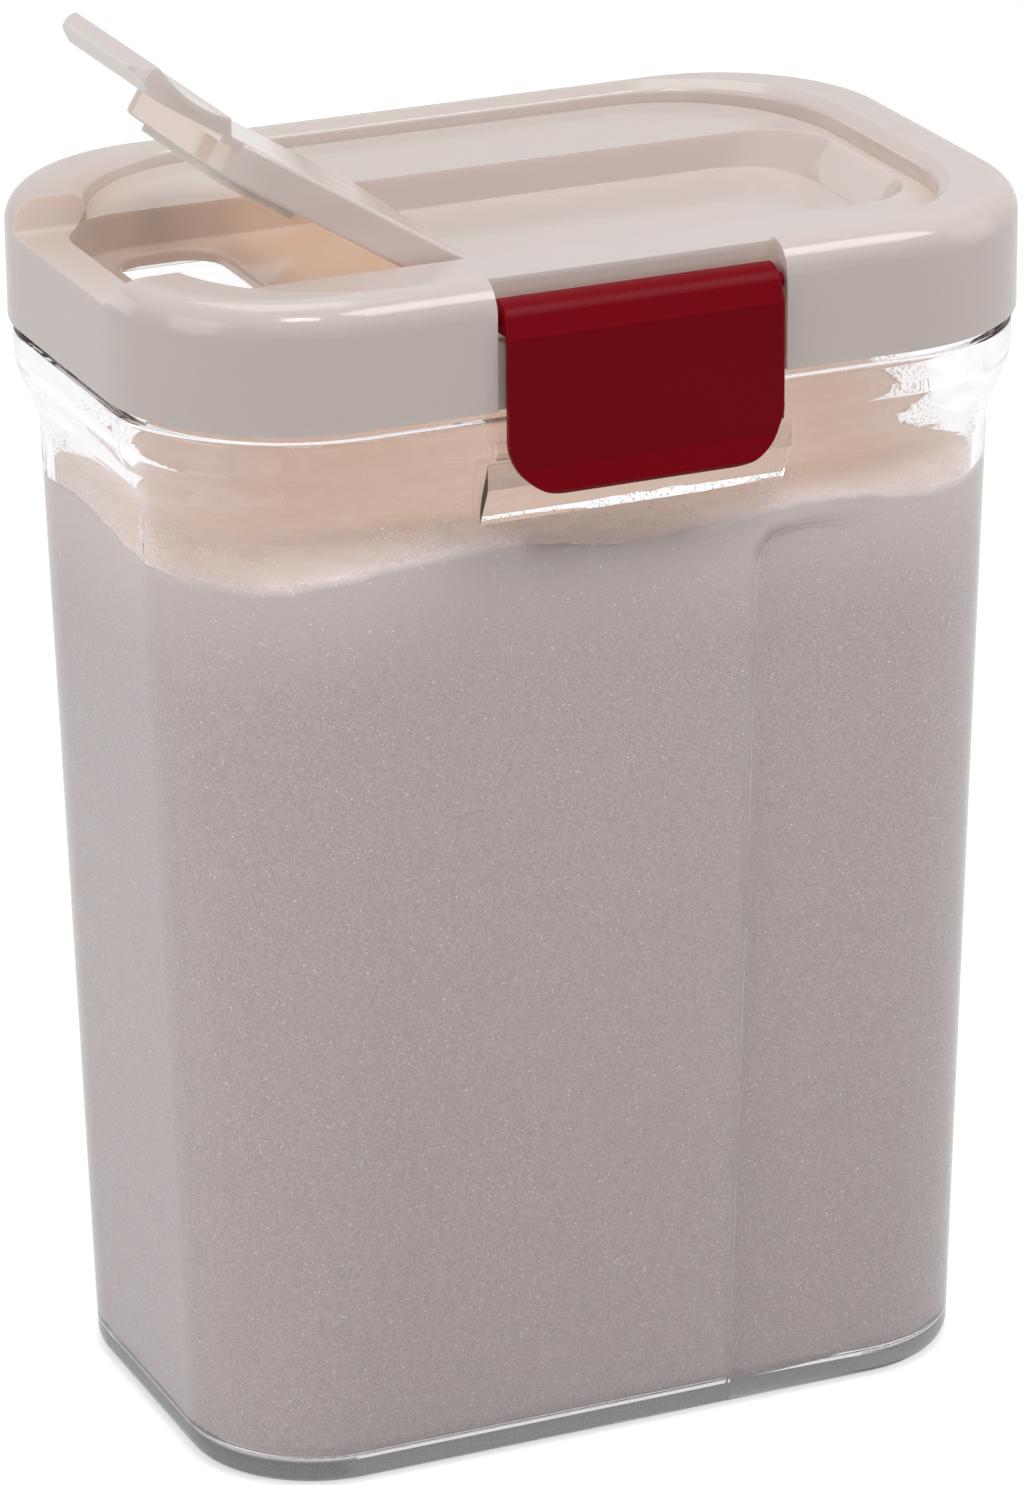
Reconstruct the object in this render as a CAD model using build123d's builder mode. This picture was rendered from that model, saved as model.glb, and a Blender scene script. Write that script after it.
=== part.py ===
from build123d import *
import math
import os

# Sugar storage container: a clear canister with a lift-off lid, a flip-up
# pouring flap and one swing-down latch. Sizes are in millimetres.
# Origin: centre of the base. +X towards the hand-grip end, -X towards the
# pouring end, -Y towards the latch, +Z up. The flap is drawn closed and
# then turned to its open rest angle.

# canister heights, from the base up
shoulder_bottom = 199.0
shoulder_rise = 10.0
collar_height = 7.5
lid_gap = 2.0

# lid shell
lid_length = 184.0
lid_width = 121.3
lid_corner = 37.0
lid_height = 24.3
crown_fillet = 6.0
skirt_wall = 2.2
shell_wall = 2.2
rim_wall = 3.2

# stepped top of the lid; drops are measured down from the crown
step_end_inset = 14.5
step_side_inset = 8.65
step_corner = 33.0
step_lip_drop = 1.6
step_lip_reach = 2.6
step_lip_round = 1.0
ledge_outer_drop = 4.0
ledge_inner_drop = 5.0
ledge_flat_margin = 1.5
ledge_wall = 2.6

# canister walls, inset from the lid's outer face
floor_inset = 10.6
wall_inset = 5.3
collar_inset = 0.9
neck_inset = 2.9
neck_wall = 2.0
wall = 2.4
floor_thickness = 3.5
base_fillet = 3.5
shoulder_fillet = 16.0
collar_edge = 0.8
seat_gap = 0.3

# hand-grip recess in the canister's front and back walls
grip_fade_inset = 39.0
grip_length = 30.0
grip_slant = 4.0
grip_top_drop = 14.0
grip_depth = 1.7
grip_corner = 7.0

# flap, in its closed position
flap_width = 53.2
flap_length = 54.9
flap_end_inset = 14.1
flap_wall = 1.8
flap_panel = 1.9
flap_corner = 12.0
flap_edge = 0.8
flap_floor_gap = 0.3
flap_open_angle = 32.0
barrel_radius = 3.65
flap_pin_radius = 1.5
flap_pin_length = 3.6
pin_clearance = 0.05
pin_end_gap = 0.4
pin_boss_radius = 2.9

# flap recess sunk in the ledge
recess_left_inset = 8.0
recess_right_inset = 17.0
recess_side_gap = 1.4
recess_corner = 14.0
recess_depth = 7.1
recess_side_draft = 1.0
recess_left_draft = 2.0
recess_right_draft = 5.0
recess_wall = 2.4
recess_floor_round = 0.6

# pouring opening through the recess floor
pour_end_inset = 18.0
pour_length = 21.0
pour_width = 45.0
pour_corner = 7.0
pour_edge = 1.0

# lift tab at the flap's free end; rises are above the flap's top
tab_width = 48.0
tab_corner = 10.0
tab_root_rise = 2.9
tab_dip_rise = 2.2
tab_dip_reach = 6.5
tab_crest_rise = 4.9
tab_crest_reach = 16.5
tab_lip_rise = 2.3
tab_lip_reach = 20.3
tab_wall = 1.7
tab_gap = 0.4

# notch in the rim for the tab
notch_drop = 5.6
notch_side_gap = 0.5
notch_flare = 4.5
notch_fillet = 2.5

# lid seal on the plug under the lid
plug_inset = 8.2
plug_wall = 2.0
plug_depth = 15.2
plug_flange = 1.4
plug_flange_reach = 1.9
seal_height = 4.6
seal_slack = 0.2
seal_body = 2.0
seal_lip = 1.0
seal_lip_margin = 0.6
seal_gap = 0.3

# flap seal
seal_clearance = 0.6
flap_seal_rest = 0.3
flap_seal_flange = 1.5
flap_seal_plug = 1.7
flap_seal_rim = 2.0
flap_seal_wall = 1.6
flap_seal_margin = 1.7

# latch; the hub is measured from the pivot
latch_width = 56.0
latch_proud = 2.05
latch_wall = 1.6
latch_return = 0.35
latch_drop = 14.5
latch_corner = 11.0
pivot_inset = 2.85
pivot_drop = 7.4
hub_rise = 3.4
hub_fall = 2.9
hub_back = 2.8
hub_top_back = 1.6
hub_bulge = 0.6
facet_rise = 1.0
facet_depth = 1.8
latch_lip_height = 5.2
latch_lip_flare = 1.3
latch_edge = 0.5
latch_side_gap = 1.3
latch_pin_radius = 1.3
latch_pin_length = 2.4
hub_back_gap = 2.5
hub_floor_gap = 1.5
latch_notch_wall = 1.7
bay_depth = 1.25
skirt_clearance = 0.3

# catch on the canister for the latch's hook
catch_drop = 4.5
catch_groove = 3.4
catch_groove_inset = 2.45
pad_inset = 1.45
pad_width = 62.0
pad_straight = 9.0
pad_height = 19.0
hook_height = 2.2
hook_reach = 1.0
hook_drop = 0.6
hook_width = 52.0

# ribs that seat the back of the lid on the neck
seat_rib_count = 5
seat_rib_spacing = 14.0
seat_rib_thickness = 1.8

# how far cutting tools run past the faces they cut
through = 20.0
overshoot = 1.0
# how close an edge lies to the place it is picked by
near = 0.01

half_length = lid_length / 2
half_lid = lid_width / 2
shoulder_top = shoulder_bottom + shoulder_rise
collar_top = shoulder_top + collar_height
skirt_bottom = collar_top + lid_gap
crown_height = skirt_bottom + lid_height
ledge_outer_height = crown_height - ledge_outer_drop
ledge_inner_height = crown_height - ledge_inner_drop
under_ledge = ledge_inner_height - ledge_wall
hollow_top = crown_height - rim_wall
step_length = lid_length - 2 * step_end_inset
step_width = lid_width - 2 * step_side_inset

recess_left = -half_length + recess_left_inset
recess_right = half_length - recess_right_inset
recess_width = flap_width + 2 * recess_side_gap
recess_floor = ledge_inner_height - recess_depth
recess_floor_left = recess_left + recess_left_draft
recess_floor_right = recess_right - recess_right_draft
recess_floor_width = recess_width - 2 * recess_side_draft
pour_left = -half_length + pour_end_inset
pour_right = pour_left + pour_length

flap_end = -half_length + flap_end_inset
hinge_x = flap_end + flap_length
hinge_height = recess_floor + flap_floor_gap + barrel_radius
flap_top = hinge_height + barrel_radius
flap_bottom = hinge_height - barrel_radius
panel_under = flap_top - flap_panel
flap_pin_end = flap_width / 2 + flap_pin_length
notch_floor = crown_height - notch_drop
notch_floor_width = tab_width + 2 * notch_side_gap
notch_top_width = notch_floor_width + 2 * notch_flare

latch_face = half_lid + latch_proud
latch_bottom = collar_top - latch_drop
pivot_face = half_lid - pivot_inset
pivot_height = crown_height - pivot_drop
hub_bottom = pivot_height - hub_fall
latch_notch_width = latch_width + 2 * latch_side_gap
latch_notch_back = pivot_face - hub_back - hub_back_gap
latch_notch_floor = hub_bottom - hub_floor_gap
latch_seat = latch_notch_floor - latch_notch_wall
bay_face = half_lid - bay_depth
bay_inner = half_lid - neck_inset + skirt_clearance

neck_top = latch_seat - seat_gap
neck_bore_inset = neck_inset + neck_wall
plug_bottom = under_ledge - plug_depth
catch_bottom = collar_top - catch_drop
catch_groove_face = half_lid - catch_groove_inset
catch_groove_bottom = catch_bottom - catch_groove
pad_face = half_lid - pad_inset
grip_fade = half_length - grip_fade_inset
grip_left = grip_fade - grip_length
grip_top = shoulder_bottom - grip_top_drop


def lid_outline(inset, mode=Mode.ADD):
    """Rounded rectangle concentric with the lid, inset from its outer face."""
    length = lid_length - 2 * inset
    width = lid_width - 2 * inset
    return RectangleRounded(length, width, lid_corner - inset, mode=mode)


def lid_ring(outer_inset, inner_inset):
    """Band between two outlines concentric with the lid."""
    lid_outline(outer_inset)
    lid_outline(inner_inset, mode=Mode.SUBTRACT)


def slab(left, right, width, corner):
    """Rounded rectangle between two X positions, centred on the long axis."""
    with Locations(((left + right) / 2, 0)):
        return RectangleRounded(right - left, width, corner)


def edges_at(part, height):
    """Edges that lie level at one height."""
    return part.edges().filter_by_position(Axis.Z, height - near, height + near)


def grip_plane(depth_shift):
    """Plane of the grip recess: leans with the wall and meets it at the fade line."""
    lean = (floor_inset - wall_inset) * grip_top / shoulder_bottom
    origin = Vector(grip_left, -half_lid + floor_inset + grip_depth + depth_shift, 0)
    along = Vector(grip_length, -grip_depth, 0)
    up = Vector(0, -lean, grip_top)
    return Plane(origin=origin, x_dir=along, z_dir=along.cross(up))


def grip_tool(depth_shift):
    """Solid that cuts the grip recess out of a canister form, front and back."""
    with BuildPart() as tool:
        with BuildSketch(grip_plane(depth_shift)):
            with BuildLine():
                corner = FilletPolyline(
                    (-grip_slant * through / grip_top, -through),
                    (grip_slant, grip_top),
                    (grip_length + grip_depth, grip_top),
                    radius=grip_corner,
                )
                Polyline(corner @ 1, (grip_length + grip_depth, -through), corner @ 0)
            make_face()
        extrude(amount=through)
        mirror(about=Plane.XZ)
    return tool.part


# Canister bore: the space inside, drawn first so that the wall stays even.
with BuildPart() as canister_bore:
    with BuildSketch(Plane.XY.offset(floor_thickness)):
        lid_outline(floor_inset + wall)
    with BuildSketch(Plane.XY.offset(shoulder_bottom)):
        lid_outline(wall_inset + wall)
    loft(ruled=True)
    with BuildSketch(Plane.XY.offset(shoulder_bottom)):
        lid_outline(wall_inset + wall)
    with BuildSketch(Plane.XY.offset(shoulder_top)):
        lid_outline(neck_bore_inset)
    loft(ruled=True)
    fillet(edges_at(canister_bore, shoulder_bottom), radius=shoulder_fillet)
    fillet(edges_at(canister_bore, floor_thickness), radius=base_fillet)
    add(grip_tool(wall), mode=Mode.SUBTRACT)
    with BuildSketch(Plane.XY.offset(shoulder_top)):
        lid_outline(neck_bore_inset)
    extrude(amount=crown_height - shoulder_top)

# The latch pad fills the shoulder in front, below the collar.
with BuildPart() as latch_pad:
    with BuildSketch(Plane.YZ.offset(-pad_width / 2)):
        with BuildLine():
            Polyline(
                (-half_lid + neck_inset, collar_top - collar_edge),
                (-half_lid + collar_inset, collar_top - collar_edge),
                (-half_lid + collar_inset, catch_bottom),
                (-pad_face, catch_groove_bottom),
                (-pad_face, catch_bottom - pad_straight),
                (-half_lid + wall_inset + wall / 2, catch_bottom - pad_height),
                close=True,
            )
        make_face()
    extrude(amount=pad_width)

# Clear canister: tapered wall, swelling shoulder, collar and plain neck.
with BuildPart() as container:
    with BuildSketch(Plane.XY):
        lid_outline(floor_inset)
    with BuildSketch(Plane.XY.offset(shoulder_bottom)):
        lid_outline(wall_inset)
    loft(ruled=True)
    with BuildSketch(Plane.XY.offset(shoulder_bottom)):
        lid_outline(wall_inset)
    with BuildSketch(Plane.XY.offset(shoulder_top)):
        lid_outline(collar_inset)
    loft(ruled=True)
    with BuildSketch(Plane.XY.offset(shoulder_top)):
        lid_outline(collar_inset)
    extrude(amount=collar_top - shoulder_top)
    fillet(edges_at(container, shoulder_bottom), radius=shoulder_fillet)
    fillet(edges_at(container, shoulder_top), radius=shoulder_fillet)
    fillet(edges_at(container, collar_top), radius=collar_edge)
    fillet(edges_at(container, 0), radius=base_fillet)
    with BuildSketch(Plane.XY.offset(collar_top)):
        lid_outline(neck_inset)
    extrude(amount=neck_top - collar_top)
    add(grip_tool(0), mode=Mode.SUBTRACT)
    add(latch_pad.part)
    # groove that the latch's hook swings into, under the catch
    with BuildSketch(Plane.YZ.offset(-latch_notch_width / 2)):
        with Locations((-catch_groove_face - through / 2, catch_bottom - catch_groove / 2)):
            Rectangle(through, catch_groove)
    extrude(amount=latch_notch_width, mode=Mode.SUBTRACT)
    add(canister_bore.part, mode=Mode.SUBTRACT)
container.part.label = "container"

# Stepped top of the lid: the ledge falls slightly towards the flap recess.
with BuildPart() as step_tool:
    with BuildSketch(Plane.XY.offset(under_ledge)):
        RectangleRounded(step_length, step_width, step_corner)
    extrude(amount=through)
    with BuildSketch(Plane.YZ.offset(-lid_length / 2)):
        with BuildLine():
            Polyline(
                (-step_width / 2, ledge_outer_height),
                (-recess_width / 2 - ledge_flat_margin, ledge_inner_height),
                (recess_width / 2 + ledge_flat_margin, ledge_inner_height),
                (step_width / 2, ledge_outer_height),
                (step_width / 2, crown_height + through),
                (-step_width / 2, crown_height + through),
                close=True,
            )
        make_face()
    extrude(amount=lid_length, mode=Mode.INTERSECT)
    with BuildSketch(Plane.XY.offset(crown_height - step_lip_drop)):
        RectangleRounded(step_length, step_width, step_corner)
    with BuildSketch(Plane.XY.offset(crown_height)):
        RectangleRounded(
            step_length + 2 * step_lip_reach,
            step_width + 2 * step_lip_reach,
            step_corner + step_lip_reach,
        )
    loft(ruled=True)

# Space of the flap recess, wider at the top.
with BuildPart() as recess_tool:
    with BuildSketch(Plane.XY.offset(recess_floor)):
        slab(recess_floor_left, recess_floor_right, recess_floor_width, recess_corner)
    with BuildSketch(Plane.XY.offset(ledge_inner_height)):
        slab(recess_left, recess_right, recess_width, recess_corner)
    loft(ruled=True)
    with BuildSketch(Plane.XY.offset(ledge_inner_height)):
        slab(recess_left, recess_right, recess_width, recess_corner)
    extrude(amount=through)
    fillet(edges_at(recess_tool, recess_floor), radius=recess_floor_round)

# Hollow inside the raised rim, open below; it stops short of the two notches.
with BuildPart() as rim_hollow:
    with BuildSketch(Plane.XY.offset(under_ledge)):
        lid_outline(skirt_wall)
        RectangleRounded(
            step_length + 2 * shell_wall,
            step_width + 2 * shell_wall,
            step_corner + shell_wall,
            mode=Mode.SUBTRACT,
        )
        with Locations((0, -half_lid)):
            Rectangle(latch_notch_width + 3 * shell_wall, lid_width, mode=Mode.SUBTRACT)
        with Locations((-lid_length / 2, 0)):
            Rectangle(lid_length / 3, notch_top_width + 2 * shell_wall, mode=Mode.SUBTRACT)
    extrude(amount=hollow_top - under_ledge)

# Lid: skirted shell with a stepped top, a flap recess and a plug underneath.
with BuildPart() as lid:
    with BuildSketch(Plane.XY.offset(skirt_bottom)):
        lid_outline(0)
    extrude(amount=crown_height - skirt_bottom)
    fillet(edges_at(lid, crown_height), radius=crown_fillet)
    with BuildSketch(Plane.XY.offset(skirt_bottom)):
        lid_outline(skirt_wall)
    extrude(amount=under_ledge - skirt_bottom, mode=Mode.SUBTRACT)
    add(rim_hollow.part, mode=Mode.SUBTRACT)
    add(step_tool.part, mode=Mode.SUBTRACT)
    fillet(edges_at(lid, crown_height - step_lip_drop), radius=step_lip_round)
    # tab notch through the rim
    with BuildSketch(Plane.YZ.offset(-half_length - overshoot)):
        with BuildLine():
            notch = FilletPolyline(
                (-notch_top_width / 2, crown_height + overshoot),
                (-notch_floor_width / 2, notch_floor),
                (notch_floor_width / 2, notch_floor),
                (notch_top_width / 2, crown_height + overshoot),
                radius=notch_fillet,
            )
            Line(notch @ 1, notch @ 0)
        make_face()
    extrude(amount=overshoot + step_end_inset + step_lip_reach, mode=Mode.SUBTRACT)
    # plug wall that carries the seal between two flanges
    with BuildSketch(Plane.XY.offset(plug_bottom)):
        lid_ring(plug_inset, plug_inset + plug_wall)
    extrude(amount=under_ledge - plug_bottom)
    plug_flange_upper = plug_bottom + plug_flange + seal_height + 2 * seal_slack
    for flange_bottom in (plug_bottom, plug_flange_upper):
        with BuildSketch(Plane.XY.offset(flange_bottom)):
            lid_ring(plug_inset - plug_flange_reach, plug_inset)
        extrude(amount=plug_flange)
    # walls and floor of the flap recess
    with BuildSketch(Plane.XY.offset(recess_floor - recess_wall)):
        slab(
            recess_floor_left - recess_wall,
            recess_floor_right + recess_wall,
            recess_floor_width + 2 * recess_wall,
            recess_corner + recess_wall,
        )
    with BuildSketch(Plane.XY.offset(under_ledge)):
        slab(
            recess_left - recess_wall,
            recess_right + recess_wall,
            recess_width + 2 * recess_wall,
            recess_corner + recess_wall,
        )
    loft(ruled=True)
    # bosses for the flap's pins
    with BuildSketch(Plane.XZ.offset(-flap_pin_end - shell_wall)):
        with Locations((hinge_x, hinge_height)):
            Circle(pin_boss_radius)
    extrude(amount=2 * (flap_pin_end + shell_wall))
    # box behind the latch, which also seats the lid on the canister's neck
    box_depth = half_lid - skirt_wall / 2 - latch_notch_back + shell_wall
    with Locations((0, -half_lid + (skirt_wall + box_depth) / 2, latch_seat)):
        Box(
            latch_notch_width + 2 * shell_wall,
            box_depth,
            under_ledge + shell_wall - latch_seat,
            align=(Align.CENTER, Align.CENTER, Align.MIN),
        )
    with Locations((0, -(bay_inner + bay_face) / 2, skirt_bottom)):
        Box(
            latch_notch_width + 2 * shell_wall,
            bay_face - bay_inner,
            latch_seat - skirt_bottom,
            align=(Align.CENTER, Align.CENTER, Align.MIN),
        )
    # ribs from the plug to the skirt, which seat the back of the lid
    rib_inner = half_lid - plug_inset - plug_wall / 2
    rib_outer = half_lid - skirt_wall / 2
    with BuildSketch(Plane.XY.offset(latch_seat)):
        with Locations((0, (rib_inner + rib_outer) / 2)):
            with GridLocations(seat_rib_spacing, seat_rib_spacing, seat_rib_count, 1):
                Rectangle(seat_rib_thickness, rib_outer - rib_inner)
    extrude(amount=under_ledge - latch_seat)
    add(recess_tool.part, mode=Mode.SUBTRACT)
    # latch notch and the shallow bay below it
    with Locations((0, -latch_notch_back, latch_notch_floor)):
        Box(
            latch_notch_width,
            2 * through,
            through,
            align=(Align.CENTER, Align.MAX, Align.MIN),
            mode=Mode.SUBTRACT,
        )
    with Locations((0, -bay_face, skirt_bottom - overshoot)):
        Box(
            latch_notch_width,
            through,
            latch_notch_floor - skirt_bottom + overshoot,
            align=(Align.CENTER, Align.MAX, Align.MIN),
            mode=Mode.SUBTRACT,
        )
    # holes for the latch pins, and for the flap pins
    latch_hole_end = latch_width / 2 + latch_pin_length + pin_end_gap
    with BuildSketch(Plane.YZ.offset(-latch_hole_end)):
        with Locations((-pivot_face, pivot_height)):
            Circle(latch_pin_radius + pin_clearance)
    extrude(amount=2 * latch_hole_end, mode=Mode.SUBTRACT)
    with BuildSketch(Plane.XZ.offset(-flap_pin_end - pin_end_gap)):
        with Locations((hinge_x, hinge_height)):
            Circle(flap_pin_radius + pin_clearance)
    extrude(amount=2 * (flap_pin_end + pin_end_gap), mode=Mode.SUBTRACT)
    # pouring opening
    with BuildSketch(Plane.XY.offset(recess_floor - recess_wall - overshoot)):
        slab(pour_left, pour_right, pour_width, pour_corner)
    extrude(amount=recess_wall + 2 * overshoot, mode=Mode.SUBTRACT)
    pour_side = pour_width / 2 + near
    pour_rim = edges_at(lid, recess_floor).filter_by_position(Axis.Y, -pour_side, pour_side)
    fillet(pour_rim.filter_by_position(Axis.X, pour_left - near, pour_right + near), radius=pour_edge)
lid.part.label = "lid"

# Lid seal: a silicone band with two lips, held on the plug.
seal_bottom = plug_bottom + plug_flange + seal_slack
with BuildPart() as lid_seal:
    with BuildSketch(Plane.XY.offset(seal_bottom)):
        lid_ring(plug_inset - seal_body, plug_inset)
    extrude(amount=seal_height)
    upper_lip = seal_bottom + seal_height - seal_lip_margin - seal_lip
    for lip_bottom in (seal_bottom + seal_lip_margin, upper_lip):
        with BuildSketch(Plane.XY.offset(lip_bottom)):
            lid_ring(neck_bore_inset + seal_gap, plug_inset)
        extrude(amount=seal_lip)
lid_seal.part.label = "lid_seal"

# Flap seal: a silicone tray on the flap's boss that plugs the pouring opening.
seal_flange_bottom = recess_floor + flap_seal_rest
seal_flange_top = seal_flange_bottom + flap_seal_flange
boss_left = pour_left + seal_clearance + flap_seal_wall
boss_right = pour_right - seal_clearance - flap_seal_wall
boss_width = pour_width - 2 * seal_clearance - 2 * flap_seal_wall
boss_corner = pour_corner - seal_clearance - flap_seal_wall


def boss_outline(grow, mode=Mode.ADD):
    """Outline of the flap's boss, grown evenly by a distance."""
    with Locations(((boss_left + boss_right) / 2, 0)):
        length = boss_right - boss_left + 2 * grow
        RectangleRounded(length, boss_width + 2 * grow, boss_corner + grow, mode=mode)


with BuildPart() as flap_seal_closed:
    with BuildSketch(Plane.XY.offset(seal_flange_bottom)):
        boss_outline(flap_seal_wall + flap_seal_margin - seal_clearance)
    extrude(amount=flap_seal_flange)
    with BuildSketch(Plane.XY.offset(seal_flange_bottom - flap_seal_plug)):
        boss_outline(flap_seal_wall)
    extrude(amount=flap_seal_plug)
    with BuildSketch(Plane.XY.offset(seal_flange_top)):
        boss_outline(flap_seal_wall)
        boss_outline(0, mode=Mode.SUBTRACT)
    extrude(amount=flap_seal_rim)

# Flap: a shallow tray turned over, with a hinge barrel and a lift tab.
with BuildPart() as flap_closed:
    with BuildSketch(Plane.XZ.offset(-flap_width / 2)):
        with BuildLine():
            Polyline(
                (hinge_x, flap_top),
                (flap_end, flap_top),
                (flap_end, flap_bottom),
                (hinge_x, flap_bottom),
            )
            ThreePointArc(
                (hinge_x, flap_bottom),
                (hinge_x + barrel_radius, hinge_height),
                (hinge_x, flap_top),
            )
        make_face()
    extrude(amount=flap_width)
    with BuildSketch(Plane.XY.offset(flap_bottom)):
        slab(flap_end, hinge_x + barrel_radius + flap_corner, flap_width, flap_corner)
    extrude(amount=2 * barrel_radius, mode=Mode.INTERSECT)
    with BuildSketch(Plane.XY.offset(flap_bottom)):
        slab(
            flap_end + flap_wall,
            hinge_x + barrel_radius - flap_wall,
            flap_width - 2 * flap_wall,
            flap_corner - flap_wall,
        )
    extrude(amount=panel_under - flap_bottom, mode=Mode.SUBTRACT)
    with BuildSketch(Plane.XY.offset(seal_flange_top)):
        boss_outline(0)
        boss_outline(-flap_wall, mode=Mode.SUBTRACT)
    extrude(amount=panel_under - seal_flange_top)
    with BuildSketch(Plane.XZ.offset(-flap_pin_end)):
        with Locations((hinge_x, hinge_height)):
            Circle(flap_pin_radius)
    extrude(amount=flap_pin_end - flap_width / 2)
    with BuildSketch(Plane.XZ.offset(flap_pin_end)):
        with Locations((hinge_x, hinge_height)):
            Circle(flap_pin_radius)
    extrude(amount=-(flap_pin_end - flap_width / 2))

# Lift tab: rises over the rim notch to a crest and ends in a sloping lip.
tab_under = notch_floor + tab_gap
tab_root_height = flap_top + tab_root_rise
tab_dip = (flap_end - tab_dip_reach, flap_top + tab_dip_rise)
tab_crest = (flap_end - tab_crest_reach, flap_top + tab_crest_rise)
tab_lip = (flap_end - tab_lip_reach, flap_top + tab_lip_rise)
with BuildPart() as tab:
    with BuildSketch(Plane.XZ.offset(-tab_width / 2)):
        with BuildLine():
            Polyline(
                (flap_end, panel_under),
                (flap_end + flap_corner, panel_under),
                (flap_end + flap_corner, flap_top),
                (flap_end + flap_wall, flap_top),
                (flap_end, tab_root_height),
            )
            Spline(
                (flap_end, tab_root_height),
                tab_dip,
                tab_crest,
            )
            Polyline(
                tab_crest,
                tab_lip,
                (tab_lip[0] + tab_wall, tab_lip[1] - tab_wall / 2),
                (-half_length, tab_under),
                (flap_end, tab_under),
                (flap_end, panel_under),
            )
        make_face()
    extrude(amount=tab_width)
    with BuildSketch(Plane.XY.offset(panel_under)):
        slab(tab_lip[0], flap_end + flap_corner + tab_corner, tab_width, tab_corner)
    extrude(amount=through, mode=Mode.INTERSECT)
    # finger hollow under the tab, level with the notch floor
    with BuildSketch(Plane.XZ.offset(-tab_width / 2 + tab_wall)):
        with BuildLine():
            Polyline(
                (flap_end - tab_wall, tab_under - overshoot),
                (flap_end - tab_wall, tab_root_height - tab_wall),
            )
            Spline(
                (flap_end - tab_wall, tab_root_height - tab_wall),
                (tab_dip[0], tab_dip[1] - tab_wall),
                (tab_crest[0] + tab_wall, tab_crest[1] - tab_wall),
            )
            Polyline(
                (tab_crest[0] + tab_wall, tab_crest[1] - tab_wall),
                (-half_length, tab_under),
                (-half_length, tab_under - overshoot),
                (flap_end - tab_wall, tab_under - overshoot),
            )
        make_face()
    extrude(amount=tab_width - 2 * tab_wall, mode=Mode.SUBTRACT)

with BuildPart() as flap_whole:
    add(flap_closed.part)
    add(tab.part)
    # soften the long top edges, beside the tab
    beside_tab = tab_width / 2 + near
    side_edges = edges_at(flap_whole, flap_top).filter_by(lambda edge: abs(edge.center().Y) > beside_tab)
    fillet(side_edges, radius=flap_edge)

flap_axis = Axis((hinge_x, 0, hinge_height), (0, 1, 0))
flap = flap_whole.part.rotate(flap_axis, flap_open_angle)
flap.label = "flap"
flap_seal = flap_seal_closed.part.rotate(flap_axis, flap_open_angle)
flap_seal.label = "flap_seal"

# Latch: a plate that hangs from a hub in the lid's notch and hooks the catch.
latch_inner = latch_face - latch_wall
return_inner = latch_inner - latch_return
hook_top = catch_bottom - hook_drop
hub_top = pivot_height + hub_rise
hub_top_face = pivot_face - hub_top_back
facet_top = (-latch_face + facet_depth, pivot_height + facet_rise)
with BuildPart() as latch:
    with BuildSketch(Plane.YZ.offset(-latch_width / 2)):
        with BuildLine():
            Polyline(
                facet_top,
                (-latch_face, hub_bottom),
                (-latch_face, latch_bottom + latch_lip_height),
                (-latch_face - latch_lip_flare, latch_bottom + latch_wall / 2),
                (-latch_face - latch_lip_flare / 2, latch_bottom),
                (-return_inner - latch_lip_flare / 2, latch_bottom),
                (-return_inner, latch_bottom + latch_lip_height),
                (-return_inner, hub_bottom),
                (-pivot_face + hub_back, hub_bottom),
                (-pivot_face + hub_back, hub_top - latch_wall),
                (-hub_top_face, hub_top),
            )
            middle = (
                (facet_top[0] - hub_top_face) / 2 - hub_bulge,
                (facet_top[1] + hub_top) / 2 + hub_bulge,
            )
            ThreePointArc((-hub_top_face, hub_top), middle, facet_top)
        make_face()
    extrude(amount=latch_width)
    # round the lower corners
    with BuildSketch(Plane.XZ.offset(latch_notch_back)):
        with BuildLine():
            outline = FilletPolyline(
                (-latch_width / 2, crown_height),
                (-latch_width / 2, latch_bottom),
                (latch_width / 2, latch_bottom),
                (latch_width / 2, crown_height),
                radius=latch_corner,
            )
            Line(outline @ 1, outline @ 0)
        make_face()
    extrude(amount=through, mode=Mode.INTERSECT)
    fillet(latch.faces().filter_by(Axis.X).edges(), radius=latch_edge)
    # shallow hollow behind the plate, then the hook across it
    with BuildSketch(Plane.XZ.offset(return_inner - overshoot)):
        with Locations((0, (hub_bottom + latch_bottom + latch_lip_height) / 2)):
            Rectangle(
                latch_width - 2 * latch_wall,
                hub_bottom - latch_bottom - latch_lip_height - 2 * latch_wall,
            )
    extrude(amount=latch_return + overshoot, mode=Mode.SUBTRACT)
    with BuildSketch(Plane.YZ.offset(-hook_width / 2)):
        with Locations((-latch_inner + hook_reach / 2, hook_top - hook_height / 2)):
            Rectangle(hook_reach, hook_height)
    extrude(amount=hook_width)
    with BuildSketch(Plane.YZ.offset(-latch_width / 2 - latch_pin_length)):
        with Locations((-pivot_face, pivot_height)):
            Circle(latch_pin_radius)
    extrude(amount=latch_width + 2 * latch_pin_length)
latch.part.label = "latch"

os.makedirs("parts", exist_ok=True)
for piece in (container.part, lid.part, lid_seal.part, flap, flap_seal, latch.part):
    export_step(piece, "parts/" + piece.label + ".step")
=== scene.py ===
import math
import random

import bmesh
import bpy
from mathutils import Matrix, Vector, noise
from mathutils.bvhtree import BVHTree


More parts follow.
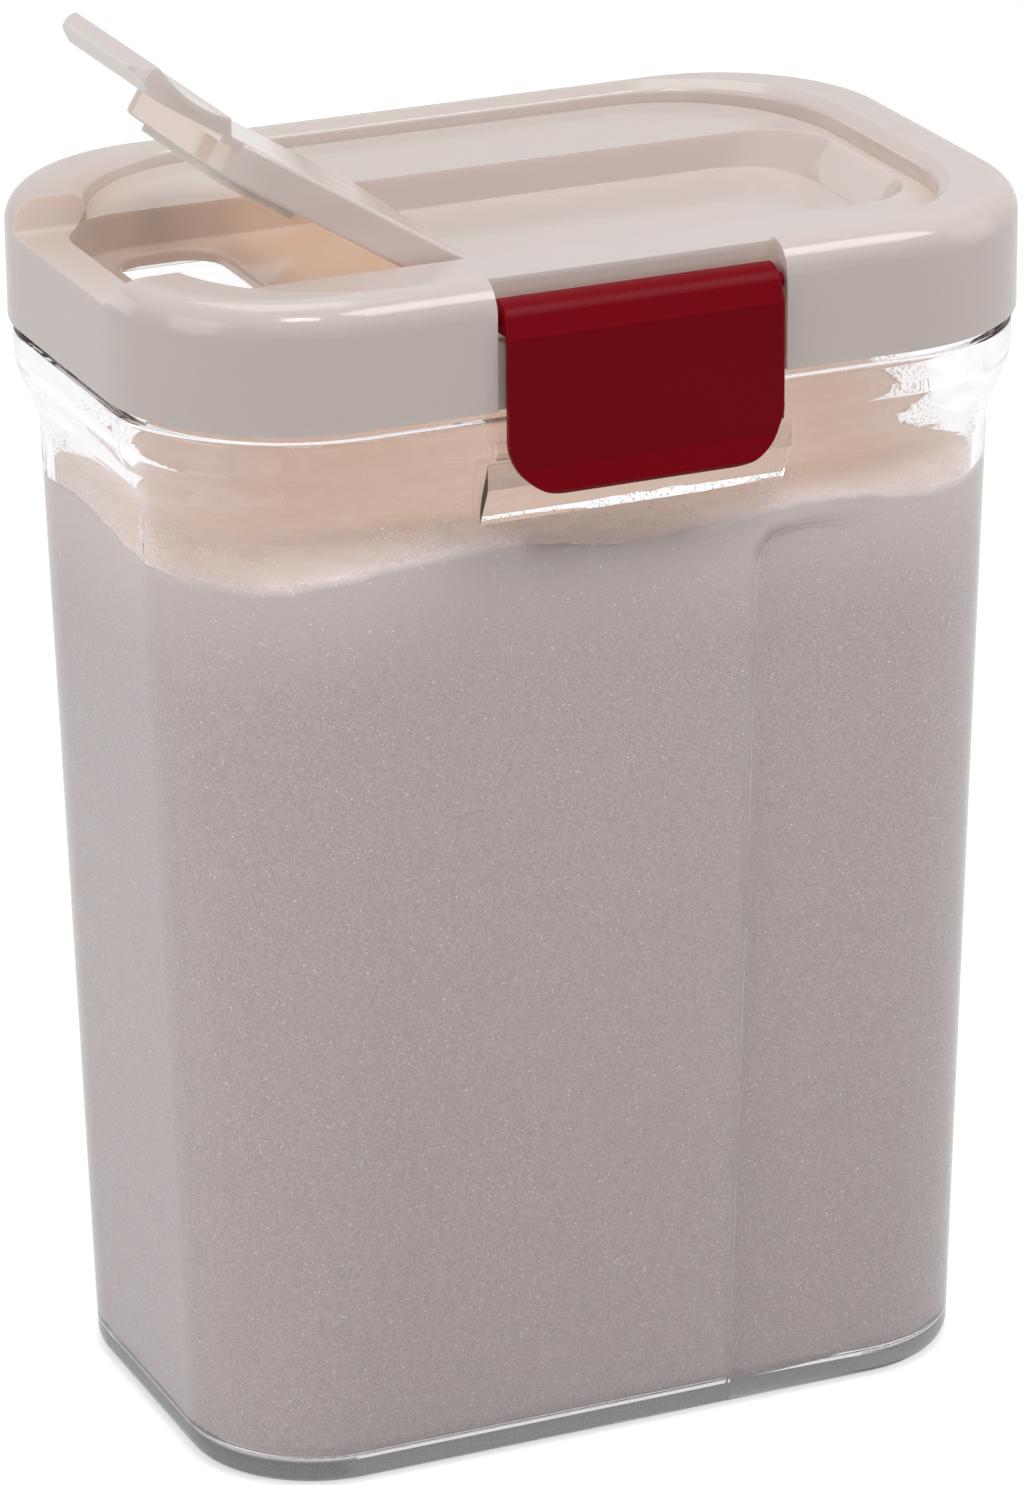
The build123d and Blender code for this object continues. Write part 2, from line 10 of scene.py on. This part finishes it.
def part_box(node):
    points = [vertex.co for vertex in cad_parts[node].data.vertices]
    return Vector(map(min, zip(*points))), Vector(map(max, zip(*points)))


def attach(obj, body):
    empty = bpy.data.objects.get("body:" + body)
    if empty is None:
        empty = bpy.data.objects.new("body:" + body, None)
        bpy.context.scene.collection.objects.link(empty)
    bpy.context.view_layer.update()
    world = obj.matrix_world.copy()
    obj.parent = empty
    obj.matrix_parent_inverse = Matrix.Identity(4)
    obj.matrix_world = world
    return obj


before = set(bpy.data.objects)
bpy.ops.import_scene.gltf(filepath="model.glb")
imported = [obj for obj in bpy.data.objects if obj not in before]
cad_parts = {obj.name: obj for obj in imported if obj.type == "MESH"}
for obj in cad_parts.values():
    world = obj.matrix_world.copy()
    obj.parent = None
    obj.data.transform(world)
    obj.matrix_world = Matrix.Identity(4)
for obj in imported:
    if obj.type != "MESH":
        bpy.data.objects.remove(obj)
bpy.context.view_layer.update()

# Sugar storage container: a clear canister of sugar under an off-white lid.
# Lengths are in metres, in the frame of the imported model.

# camera, angles in degrees
target = Vector((0.0, 0.0, 0.1105))
camera_azimuth = -23.55
camera_elevation = 21.74
camera_distance = 1.3527
camera_roll = -0.56
camera_lens = 165.6
camera_shift = (-0.0035, 0.055)

# lamps: name, position, width, height, power in watts
lamps = (
    ("key_softbox", (0.50, -0.55, 1.24), 0.60, 0.48, 5.2),
    ("front_softbox", (-0.24, -0.74, 1.26), 0.36, 0.28, 3.2),
    ("left_softbox", (-1.45, -0.30, 0.50), 0.8, 1.2, 6.2),
    ("right_softbox", (1.45, -0.40, 0.50), 0.9, 1.3, 3.5),
    ("top_softbox", (0.0, 0.30, 1.50), 0.8, 0.7, 3.8),
    ("back_softbox", (-1.20, 1.40, 0.45), 1.2, 1.0, 4.5),
)

# room and floor
room_level = 0.22
mirror_share = 0.7
floor_reach = 6.0
floor_roughness = 0.9
floor_lift = 0.74
near_floor = 0.8
far_floor = 2.2
foot_height = 0.001
# painted shade under the canister's foot: there the floor's white lift falls to a share
painted_shade_fade = 0.002
painted_shade_share = 0.30

# sugar in the canister
wall_overlap = 0.00005
weld_distance = 0.00005
sugar_foot = 0.0038
sugar_level = 0.1885
sugar_tilt = 0.012
swell_scale, swell_layer, swell_height = 26, 0.3, 0.0032
ripple_scale, ripple_layer, ripple_height = 190, 2.1, 0.0007
straight_steps = 96
end_steps = 132
row_count = 120
ring_count = 36
spine_share = 0.55

# look of the sugar
cell_scale = 3400.0
# painted highlights: rare grains painted white to look like glinting crystals
painted_glint_range = (0.985, 0.999)
# painted light: a warm tint on the sugar's top, standing for the light through the lid
painted_light_depth = 0.030
painted_light_rise = 0.003
painted_light_share = 0.9
sugar_roughness = (0.35, 0.8)
sugar_relief = (0.35, 0.0001)

# grains left on the wall above the sugar
grain_seed = 7
grain_count = 9000
grain_size = (0.00010, 0.00024)
grain_reach = 0.016
grain_thinning = 1.8
grain_clearance = 0.00015
cluster_scale = 75
cluster_cut = 0.35
crystal_axis = (0.3, 0.5, 0.8)
crystal_stretch = (0.7, 1.1)
stray_scale = 1500.0
stray_roughness = (0.2, 0.5)

# moulded plastics: noise scales, and relief as strength and distance
plastic_ior = 1.49
drift_scale = 28.0
gloss_scale = 90.0
peel_scale = 650.0
peel_detail = 3.0
peel_relief = (0.05, 0.0001)
glow_depth = 0.003
cream_roughness = (0.08, 0.15)
cream_scatter = 0.6
cream_gloss = 0.5
red_roughness = (0.30, 0.38)
red_scatter = 0.0
red_gloss = 0.07
clear_gloss_scale = 60.0
clear_roughness = (0.0, 0.03)
clear_wave_scale = 45.0
clear_relief = (0.01, 0.0002)
clear_density = 22.0

# silicone
silicone_scatter = 0.4
silicone_gloss_scale = 120.0
silicone_roughness = (0.45, 0.6)
silicone_grain_scale = 900.0
silicone_relief = (0.05, 0.0002)

# colours, linear
cream_light = (0.720, 0.645, 0.615, 1.0)
cream_deep = (0.700, 0.620, 0.585, 1.0)
cream_passed = (0.92, 0.82, 0.71, 1.0)
cream_glow = (1.0, 0.80, 0.66)
red_light = (0.225, 0.0010, 0.0070, 1.0)
red_deep = (0.200, 0.0006, 0.0050, 1.0)
silicone_tint = (0.74, 0.71, 0.67, 1.0)
clear_tint = (0.990, 0.990, 0.995, 1.0)
clear_depth = (0.52, 0.50, 0.56, 1.0)
sugar_pale = (0.740, 0.640, 0.628, 1.0)
sugar_grey = (0.540, 0.470, 0.458, 1.0)
# painted light: the warm tint of light through the lid, put on the sugar's top
sugar_painted_lid_light = (0.780, 0.690, 0.665, 1.0)
# painted highlight: the white of the glinting grains
sugar_painted_glint = (1.0, 1.0, 1.0, 1.0)
stray_grain = (0.950, 0.920, 0.900, 1.0)
paper_white = (1.0, 1.0, 1.0, 1.0)
floor_grey = (0.55, 0.55, 0.55, 1.0)


def set_inputs(node, **values):
    """Sets a node's inputs by name, with _ for each space."""
    for name, value in values.items():
        node.inputs[name.replace("_", " ")].default_value = value
    return node


def place(nodes, kind, **values):
    """Adds a node and sets its inputs by name."""
    return set_inputs(nodes.new(kind), **values)


def shader_nodes(name):
    """New node material, with its node list, its link list and its shader."""
    material = bpy.data.materials.new(name)
    material.use_nodes = True
    tree = material.node_tree
    return material, tree.nodes, tree.links, tree.nodes["Principled BSDF"]


def object_point(nodes):
    """Point in the object's own coordinates."""
    return nodes.new("ShaderNodeTexCoord").outputs["Object"]


def tint_between(nodes, links, factor, first, second):
    """Colour that goes from first, a colour or a socket, to second with a factor socket."""
    mix = nodes.new("ShaderNodeMix")
    mix.data_type = "RGBA"
    if isinstance(first, bpy.types.NodeSocket):
        links.new(first, mix.inputs["A"])
    else:
        mix.inputs["A"].default_value = first
    mix.inputs["B"].default_value = second
    links.new(factor, mix.inputs["Factor"])
    return mix.outputs["Result"]


def map_range(nodes, links, value, **limits):
    """Value socket moved from one range to another."""
    span = place(nodes, "ShaderNodeMapRange", **limits)
    links.new(value, span.inputs["Value"])
    return span


def combine(nodes, links, operation, first, second):
    """Result of a maths operation on two sockets."""
    node = nodes.new("ShaderNodeMath")
    node.operation = operation
    links.new(first, node.inputs[0])
    links.new(second, node.inputs[1])
    return node.outputs["Value"]


def combine_vectors(nodes, links, operation, first, second=(0, 0, 0)):
    """Vector maths node on a vector socket and a plain vector."""
    node = nodes.new("ShaderNodeVectorMath")
    node.operation = operation
    links.new(first, node.inputs[0])
    node.inputs[1].default_value = second
    return node


def noise_of(nodes, links, scale, detail=2.0):
    """Noise in the object's own coordinates."""
    texture = place(nodes, "ShaderNodeTexNoise", Scale=scale, Detail=detail)
    links.new(object_point(nodes), texture.inputs["Vector"])
    return texture.outputs["Fac"]


def add_bump(nodes, links, shader, height, relief):
    """Surface relief from a height socket."""
    strength, distance = relief
    bump = place(nodes, "ShaderNodeBump", Strength=strength, Distance=distance)
    links.new(height, bump.inputs["Height"])
    links.new(bump.outputs["Normal"], shader.inputs["Normal"])


def vary_roughness(nodes, links, shader, factor, limits):
    """Roughness that drifts between two values with a factor socket."""
    low, high = limits
    span = map_range(nodes, links, factor, To_Min=low, To_Max=high)
    links.new(span.outputs["Result"], shader.inputs["Roughness"])


def let_light_through(material, nodes, links, shader, tint):
    """Lets the lamps' light through, tinted once at each surface that it crosses."""
    rays = nodes.new("ShaderNodeLightPath")
    passing = place(nodes, "ShaderNodeBsdfTransparent", Color=tint)
    both = nodes.new("ShaderNodeMixShader")
    links.new(rays.outputs["Is Shadow Ray"], both.inputs["Fac"])
    links.new(shader.outputs["BSDF"], both.inputs[1])
    links.new(passing.outputs["BSDF"], both.inputs[2])
    links.new(both.outputs["Shader"], nodes["Material Output"].inputs["Surface"])


def moulded_plastic(name, light, deep, roughness, scatter, gloss, passed=None):
    """Moulded plastic: slow drift of colour and gloss, faint orange peel."""
    material, nodes, links, shader = shader_nodes(name)
    drift = noise_of(nodes, links, drift_scale)
    links.new(tint_between(nodes, links, drift, light, deep), shader.inputs["Base Color"])
    vary_roughness(nodes, links, shader, noise_of(nodes, links, gloss_scale), roughness)
    set_inputs(
        shader,
        IOR=plastic_ior,
        Subsurface_Weight=scatter,
        Subsurface_Radius=cream_glow,
        Subsurface_Scale=glow_depth,
        Specular_IOR_Level=gloss,
    )
    add_bump(nodes, links, shader, noise_of(nodes, links, peel_scale, peel_detail), peel_relief)
    if passed:
        let_light_through(material, nodes, links, shader, passed)
    return material


def clear_plastic():
    """Clear moulded plastic that lets the lamps through and darkens with depth."""
    material, nodes, links, shader = shader_nodes("clear_plastic")
    set_inputs(shader, Base_Color=clear_tint, IOR=plastic_ior, Transmission_Weight=1.0)
    vary_roughness(nodes, links, shader, noise_of(nodes, links, clear_gloss_scale), clear_roughness)
    add_bump(nodes, links, shader, noise_of(nodes, links, clear_wave_scale), clear_relief)
    let_light_through(material, nodes, links, shader, clear_tint)
    smoke = place(
        nodes, "ShaderNodeVolumeAbsorption", Color=clear_depth, Density=clear_density)
    links.new(smoke.outputs["Volume"], nodes["Material Output"].inputs["Volume"])
    return material


def silicone():
    """Soft milky silicone."""
    material, nodes, links, shader = shader_nodes("silicone")
    set_inputs(
        shader,
        Base_Color=silicone_tint,
        Subsurface_Weight=silicone_scatter,
        Subsurface_Scale=glow_depth,
    )
    gloss = noise_of(nodes, links, silicone_gloss_scale)
    vary_roughness(nodes, links, shader, gloss, silicone_roughness)
    add_bump(nodes, links, shader, noise_of(nodes, links, silicone_grain_scale), silicone_relief)
    return material


def stray_material():
    """Single sugar grains against the wall: pale, each a little different."""
    material, nodes, links, shader = shader_nodes("stray_sugar")
    shade = noise_of(nodes, links, stray_scale)
    tint = tint_between(nodes, links, shade, sugar_pale, stray_grain)
    links.new(tint, shader.inputs["Base Color"])
    vary_roughness(nodes, links, shader, shade, stray_roughness)
    return material


def painted_lid_light_mask(nodes, links, point):
    """1 where the sugar faces up or lies near its top: a mask for painted warm light, standing for
    the light that comes through the lid.
    """
    facing = nodes.new("ShaderNodeNewGeometry")
    upward = nodes.new("ShaderNodeSeparateXYZ")
    links.new(facing.outputs["Normal"], upward.inputs["Vector"])
    height = nodes.new("ShaderNodeSeparateXYZ")
    links.new(point, height.inputs["Vector"])
    depth = map_range(
        nodes, links, height.outputs["Z"],
        From_Min=sugar_level - painted_light_depth, From_Max=sugar_level + painted_light_rise,
        To_Max=painted_light_share)
    depth.interpolation_type = "SMOOTHSTEP"
    return combine(nodes, links, "MAXIMUM", upward.outputs["Z"], depth.outputs["Result"])


def sugar_material():
    """Fine granulated sugar: grains of slightly different greys, and a few painted white as a
    painted highlight where grains would glint.
    """
    material, nodes, links, shader = shader_nodes("sugar")
    point = object_point(nodes)
    cells = place(nodes, "ShaderNodeTexVoronoi", Scale=cell_scale)
    links.new(point, cells.inputs["Vector"])
    split = nodes.new("ShaderNodeSeparateColor")
    links.new(cells.outputs["Color"], split.inputs["Color"])
    body = tint_between(nodes, links, split.outputs["Red"], sugar_grey, sugar_pale)
    # painted warm light on the sugar's top and upward faces
    warm = tint_between(nodes, links, painted_lid_light_mask(nodes, links, point), body, sugar_painted_lid_light)
    # painted highlights: a few grains painted white to look like glinting crystals
    painted_glints = map_range(
        nodes, links, split.outputs["Green"], From_Min=painted_glint_range[0], From_Max=painted_glint_range[1])
    painted_spark = tint_between(nodes, links, painted_glints.outputs["Result"], warm, sugar_painted_glint)
    links.new(painted_spark, shader.inputs["Base Color"])
    vary_roughness(nodes, links, shader, split.outputs["Blue"], sugar_roughness)
    add_bump(nodes, links, shader, split.outputs["Blue"], sugar_relief)
    return material


def finish_node(name, material):
    """Gives a CAD node its finish."""
    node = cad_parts[name]
    node.data.materials.clear()
    node.data.materials.append(material)


def mesh_object(name, mesh, smooth):
    """Turns a bmesh into a shown object."""
    data = bpy.data.meshes.new(name)
    mesh.to_mesh(data)
    mesh.free()
    made = bpy.data.objects.new(name, data)
    bpy.context.scene.collection.objects.link(made)
    for face in data.polygons:
        face.use_smooth = smooth
    return made


def outline_rays(reach):
    """Start points on the canister's spine and outward directions, once round it."""
    rays = []
    for side in (-1, 1):
        for step in range(straight_steps):
            along = side * (reach - 2 * reach * step / straight_steps)
            rays.append((Vector((along, 0, 0)), Vector((0, side, 0))))
        for step in range(end_steps):
            turn = side * math.pi / 2 + math.pi * step / end_steps
            outward = Vector((math.cos(turn), math.sin(turn), 0))
            rays.append((Vector((-side * reach, 0, 0)), outward))
    return rays


def inner_wall(tree, ray, height):
    """Point on the canister's inner wall along a ray at one height, a hair into the plastic."""
    start, outward = ray
    hit = tree.ray_cast(start + Vector((0, 0, height)), outward)[0]
    return hit + outward * wall_overlap


def sugar_top(x, y):
    """Height of the sugar's uneven surface."""
    swell_spot = Vector((x * swell_scale, y * swell_scale, swell_layer))
    ripple_spot = Vector((x * ripple_scale, y * ripple_scale, ripple_layer))
    swell = noise.noise(swell_spot) * swell_height
    ripple = noise.noise(ripple_spot) * ripple_height
    return sugar_level + sugar_tilt * x + swell + ripple


def sugar_column(mesh, tree, ray):
    """Points up the wall along one ray, from the floor to the sugar's top."""
    edge = inner_wall(tree, ray, sugar_level)
    depth = sugar_top(edge.x, edge.y) - sugar_foot
    heights = [sugar_foot + depth * row / row_count for row in range(row_count + 1)]
    return [mesh.verts.new(inner_wall(tree, ray, height)) for height in heights]


def sugar_ring(mesh, rays, edges, share):
    """Points of the uneven top, a share of the way from the wall to the spine."""
    ring = []
    for ray, edge in zip(rays, edges):
        spot = edge.co.lerp(Vector((ray[0].x, 0, 0)), share)
        ring.append(mesh.verts.new((spot.x, spot.y, sugar_top(spot.x, spot.y))))
    return ring


def make_sugar(tree, rays):
    """Heap of sugar that fills the canister up to its uneven top."""
    mesh = bmesh.new()
    columns = [sugar_column(mesh, tree, ray) for ray in rays]
    rings = [[column[-1] for column in columns]]
    for ring in range(1, ring_count + 1):
        rings.append(sugar_ring(mesh, rays, rings[0], ring / ring_count))
    count = len(rays)
    for index in range(count):
        here = columns[index]
        there = columns[(index + 1) % count]
        for row in range(row_count):
            mesh.faces.new((here[row], there[row], there[row + 1], here[row + 1]))
    for outer, inner in zip(rings, rings[1:]):
        for index in range(count):
            after = (index + 1) % count
            mesh.faces.new((outer[index], outer[after], inner[after], inner[index]))
    mesh.faces.new([column[0] for column in reversed(columns)])
    bmesh.ops.remove_doubles(mesh, verts=mesh.verts, dist=weld_distance)
    bmesh.ops.recalc_face_normals(mesh, faces=mesh.faces)
    return mesh_object("sugar", mesh, smooth=True)


def add_crystal(mesh, spot, frame_of, stretch):
    """One eight-sided sugar crystal."""
    tips = [spot + frame_of @ Vector((0, 0, side * stretch)) for side in (1, -1)]
    top, bottom = [mesh.verts.new(tip) for tip in tips]
    corners = [(1, 0, 0), (0, 1, 0), (-1, 0, 0), (0, -1, 0)]
    belt = [mesh.verts.new(spot + frame_of @ Vector(corner)) for corner in corners]
    for index, corner in enumerate(belt):
        after = belt[(index + 1) % len(belt)]
        mesh.faces.new((corner, after, top))
        mesh.faces.new((after, corner, bottom))


def make_grains(tree, rays):
    """Single grains that cling to the wall above the sugar, fewer higher up."""
    chance = random.Random(grain_seed)
    mesh = bmesh.new()
    for _ in range(grain_count):
        index = chance.randrange(len(rays))
        between = chance.random()
        # a ray between two neighbours, so that the grains don't stand in columns
        ray = [here.lerp(there, between) for here, there in zip(rays[index - 1], rays[index])]
        edge = inner_wall(tree, ray, sugar_level)
        rise = grain_reach * chance.random() ** grain_thinning
        size = chance.uniform(*grain_size)
        wall_at = inner_wall(tree, ray, sugar_top(edge.x, edge.y) + rise)
        # the grains hang in loose clusters, thinner with height
        if noise.noise(wall_at * cluster_scale) < rise / grain_reach - cluster_cut:
            continue
        spot = wall_at - ray[1] * (size + grain_clearance)
        turn = Matrix.Rotation(chance.uniform(0, math.tau), 3, Vector(crystal_axis))
        add_crystal(mesh, spot, turn * size, chance.uniform(*crystal_stretch))
    return mesh_object("sugar_grains", mesh, smooth=False)


def soft_light(name, position, width, height, power):
    """Rectangular studio light that faces the object."""
    data = bpy.data.lights.new(name, "AREA")
    data.shape = "RECTANGLE"
    data.size = width
    data.size_y = height
    data.energy = power
    lamp = bpy.data.objects.new(name, data)
    lamp.location = position
    lamp.rotation_euler = (target - Vector(position)).to_track_quat("-Z", "Y").to_euler()
    bpy.context.scene.collection.objects.link(lamp)


def seen_rays(nodes, links):
    """1 for rays that look at the background, straight or through something clear.

    Mirrored rays count for less, and rays that left a matt surface not at all: they
    light that surface, so they see the room instead.
    """
    rays = nodes.new("ShaderNodeLightPath").outputs
    straight = combine(
        nodes, links, "MAXIMUM", rays["Is Camera Ray"], rays["Is Transmission Ray"])
    mirrored = nodes.new("ShaderNodeMath")
    mirrored.operation = "MULTIPLY"
    mirrored.inputs[1].default_value = mirror_share
    links.new(rays["Is Glossy Ray"], mirrored.inputs[0])
    looking = combine(nodes, links, "MAXIMUM", straight, mirrored.outputs["Value"])
    never_matt = combine(nodes, links, "GREATER_THAN", looking, rays["Diffuse Depth"])
    return combine(nodes, links, "MULTIPLY", looking, never_matt)


def fade_with(nodes, links, vector, near, far, low):
    """Goes from low to 1 as a vector's length goes from near to far."""
    length = combine_vectors(nodes, links, "LENGTH", vector).outputs["Value"]
    fade = map_range(nodes, links, length, From_Min=near, From_Max=far, To_Min=low)
    return fade.outputs["Result"]


def foot_outline(canister):
    """Half length, half width and corner radius of the canister's foot."""
    foot = [v.co for v in canister.data.vertices if v.co.z < foot_height]
    half_length = max(abs(co.x) for co in foot)
    half_width = max(abs(co.y) for co in foot)
    diagonal = max(abs(co.x) + abs(co.y) for co in foot)
    radius = (half_length + half_width - diagonal) / (2 - math.sqrt(2))
    return half_length, half_width, radius


def painted_foot_shade(nodes, links, point, canister):
    """1 on the floor clear of the canister's rounded foot, less under it: a mask for painted shade
    under the foot.
    """
    half_length, half_width, radius = foot_outline(canister)
    core = (half_length - radius, half_width - radius, 0)
    mirrored = combine_vectors(nodes, links, "ABSOLUTE", point).outputs["Vector"]
    past = combine_vectors(nodes, links, "SUBTRACT", mirrored, core).outputs["Vector"]
    beyond = combine_vectors(nodes, links, "MAXIMUM", past).outputs["Vector"]
    return fade_with(nodes, links, beyond, radius - painted_shade_fade, radius + painted_shade_fade, painted_shade_share)


def make_world():
    """Soft room light; what the camera sees of it is white."""
    world = bpy.data.worlds.new("studio")
    bpy.context.scene.world = world
    world.use_nodes = True
    nodes, links = world.node_tree.nodes, world.node_tree.links
    level = map_range(nodes, links, seen_rays(nodes, links), To_Min=room_level, To_Max=1.0)
    links.new(level.outputs["Result"], nodes["Background"].inputs["Strength"])
    set_inputs(nodes["Background"], Color=paper_white)


def make_floor(canister):
    """Pale floor that reads white to the camera and still takes the object's shadow; under the
    canister's foot its white lift is cut back, as painted shade.
    """
    mesh = bmesh.new()
    bmesh.ops.create_grid(mesh, x_segments=1, y_segments=1, size=floor_reach)
    floor = mesh_object("floor", mesh, smooth=False)
    material, nodes, links, shader = shader_nodes("floor")
    set_inputs(shader, Base_Color=floor_grey, Roughness=floor_roughness)
    point = object_point(nodes)
    # the lift grows with distance, where the lamps light the floor less
    strength = fade_with(nodes, links, point, near_floor, far_floor, floor_lift)
    lift = nodes.new("ShaderNodeEmission")
    links.new(strength, lift.inputs["Strength"])
    total = nodes.new("ShaderNodeAddShader")
    links.new(shader.outputs["BSDF"], total.inputs[0])
    links.new(lift.outputs["Emission"], total.inputs[1])
    # painted shade: less of the white lift under the canister's foot
    painted_shade_mask = painted_foot_shade(nodes, links, point, canister)
    share = combine(nodes, links, "MULTIPLY", seen_rays(nodes, links), painted_shade_mask)
    seen = nodes.new("ShaderNodeMixShader")
    links.new(share, seen.inputs["Fac"])
    links.new(shader.outputs["BSDF"], seen.inputs[1])
    links.new(total.outputs["Shader"], seen.inputs[2])
    links.new(seen.outputs["Shader"], nodes["Material Output"].inputs["Surface"])
    floor.data.materials.append(material)


def make_camera():
    """Camera at the photograph's viewing angle."""
    azimuth = math.radians(camera_azimuth)
    elevation = math.radians(camera_elevation)
    back = Vector((
        math.sin(azimuth) * math.cos(elevation),
        -math.cos(azimuth) * math.cos(elevation),
        math.sin(elevation),
    ))
    data = bpy.data.cameras.new("camera")
    data.lens = camera_lens
    data.shift_x, data.shift_y = camera_shift
    camera = bpy.data.objects.new("camera", data)
    camera.location = target + back * camera_distance
    roll = Matrix.Rotation(math.radians(camera_roll), 3, "Z")
    camera.rotation_euler = ((-back).to_track_quat("-Z", "Y").to_matrix() @ roll).to_euler()
    bpy.context.scene.collection.objects.link(camera)
    bpy.context.scene.camera = camera


def finish_nodes():
    """Gives each CAD node its finish."""
    cream = moulded_plastic(
        "cream_plastic", cream_light, cream_deep,
        cream_roughness, cream_scatter, cream_gloss, cream_passed)
    red = moulded_plastic(
        "red_plastic", red_light, red_deep, red_roughness, red_scatter, red_gloss)
    rubber = silicone()
    finishes = {
        "container": clear_plastic(),
        "lid": cream,
        "flap": cream,
        "latch": red,
        "lid_seal": rubber,
        "flap_seal": rubber,
    }
    for name, material in finishes.items():
        finish_node(name, material)


def fill_canister(canister):
    """Sugar in the canister, with the grains that cling above it."""
    tree = BVHTree.FromObject(canister, bpy.context.evaluated_depsgraph_get())
    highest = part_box("container")[1]
    rays = outline_rays(highest.x * spine_share)
    sugar = make_sugar(tree, rays)
    sugar.data.materials.append(sugar_material())
    grains = make_grains(tree, rays)
    grains.data.materials.append(stray_material())
    for contents in (sugar, grains):
        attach(contents, "container")


make_camera()
make_world()
make_floor(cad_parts["container"])
for lamp in lamps:
    soft_light(*lamp)
finish_nodes()
fill_canister(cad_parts["container"])

bpy.context.scene.view_settings.view_transform = "Standard"
